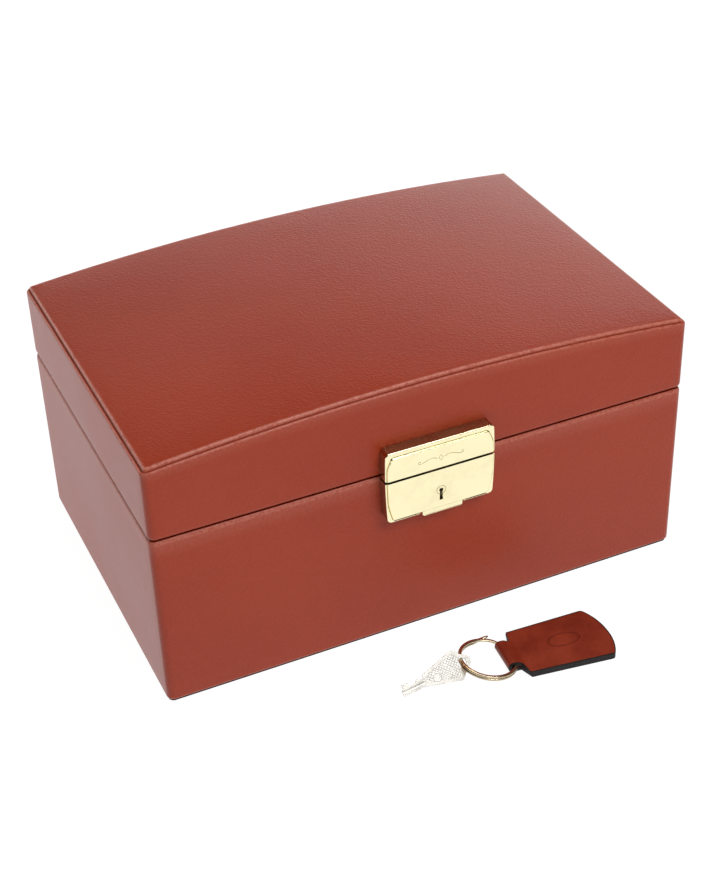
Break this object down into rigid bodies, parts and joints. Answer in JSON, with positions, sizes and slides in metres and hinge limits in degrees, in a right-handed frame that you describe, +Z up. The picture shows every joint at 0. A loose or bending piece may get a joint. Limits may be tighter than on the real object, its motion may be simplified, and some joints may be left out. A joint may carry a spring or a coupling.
{
  "type": "jewellery case",
  "caption": "Leather-covered jewellery case with an arched hinged lid, brass hasp lock with sliding release, lift-out tray, mirror, and its key on a split ring with a leather fob.",
  "frame": {"origin": "centre of the case's underside", "axes": "+Z up, -Y to the front with the lock, +X along the front to the right as the lock is faced"},
  "size_m": [0.26, 0.2381, 0.1324],
  "materials": {
    "leather": "semi-gloss, fine pebble grain",
    "fob_leather": "smooth, black painted edges",
    "wood": "raw board",
    "underside": "dark bookcloth",
    "suede": "suede",
    "brass": "polished",
    "steel": "zinc plated",
    "mirror": "silvered glass",
    "nickel": "stamped nickel plate",
    "ring_brass": "antique plate"
  },
  "bodies": {
    "base": {"base_back_board": "wood", "base_floor_board": "wood", "base_floor_pad": "suede", "base_front_board": "wood", "base_leather": "leather", "base_left_board": "wood", "base_lining": "suede", "base_right_board": "wood", "hinge_base_leaf_left": "brass", "hinge_base_leaf_right": "brass", "hinge_base_screw_left_1": "brass", "hinge_base_screw_left_2": "brass", "hinge_base_screw_right_1": "brass", "hinge_base_screw_right_2": "brass", "hinge_pin_left": "steel", "hinge_pin_right": "steel", "lock_back_plate": "brass", "lock_case": "brass", "lock_screw_left": "steel", "lock_screw_right": "steel", "lower_divider": "suede", "slider_spring": "steel", "tray_rest_left": "suede", "tray_rest_right": "suede", "underside_sheet": "underside"},
    "lid": {"hasp_plate": "brass", "hasp_screw_left": "steel", "hasp_screw_right": "steel", "hinge_lid_leaf_left": "brass", "hinge_lid_leaf_right": "brass", "hinge_lid_screw_left_1": "brass", "hinge_lid_screw_left_2": "brass", "hinge_lid_screw_right_1": "brass", "hinge_lid_screw_right_2": "brass", "lid_back_board": "wood", "lid_ceiling_pad": "suede", "lid_front_board": "wood", "lid_leather": "leather", "lid_left_board": "wood", "lid_lining": "suede", "lid_panel": "leather", "lid_right_board": "wood", "lid_top_board": "wood", "mirror": "mirror", "striker": "steel"},
    "tray": {"tray_back_wall": "leather", "tray_divider_left": "leather", "tray_divider_long": "leather", "tray_divider_right": "leather", "tray_floor": "suede", "tray_front_wall": "leather", "tray_left_wall": "leather", "tray_right_wall": "leather", "tray_ring_bank": "suede"},
    "release": {"release_slider": "brass"},
    "cam": {"key_cam": "steel"},
    "bolt": {"lock_bolt": "steel"},
    "fob": {"fob": "fob_leather"},
    "ring": {"split_ring": "ring_brass"},
    "key": {"key": "nickel"}
  },
  "joints": [
    {"name": "lid_hinge", "type": "hinge", "parent": "base", "child": "lid", "pos_m": [0, 0.0882, 0.0897], "axis": [-1, 0, 0], "range_deg": [0, 100]},
    {"name": "release_slide", "type": "slide", "parent": "base", "child": "release", "axis": [-1, 0, 0], "range_m": [0, 0.0013], "stiffness_N_per_m": 300, "springref_m": -0.002, "deforming": ["slider_spring"]},
    {"name": "key_cam_turn", "type": "hinge", "parent": "base", "child": "cam", "pos_m": [0.0018, -0.08855, 0.0781], "axis": [0, -1, 0], "range_deg": [0, 90.5]},
    {"name": "bolt_throw", "type": "slide", "parent": "base", "child": "bolt", "axis": [-1, 0, 0], "range_m": [0, 0.00339]},
    {"name": "tray_lift", "type": "slide", "parent": "base", "child": "tray", "axis": [0, 0, 1], "range_m": [0, 0.025]},
    {"name": "keyset_lift", "type": "slide", "parent": "base", "child": "fob", "axis": [0, 0, 1], "range_m": [0, 0.08]},
    {"name": "ring_swing", "type": "hinge", "parent": "fob", "child": "ring", "pos_m": [0.0187, -0.12775, 0.0026], "axis": [0.0889, 0.996, 0], "range_deg": [0, 6]},
    {"name": "key_swing", "type": "hinge", "parent": "ring", "child": "key", "pos_m": [-0.00543, -0.12595, 0.00675], "axis": [0.11, 0.9939, 0], "range_deg": [0, 35]}
  ],
  "couplings": [
    {"joint": "key_cam_turn", "follows": "bolt_throw", "rad_per_m": 462.8}
  ]
}
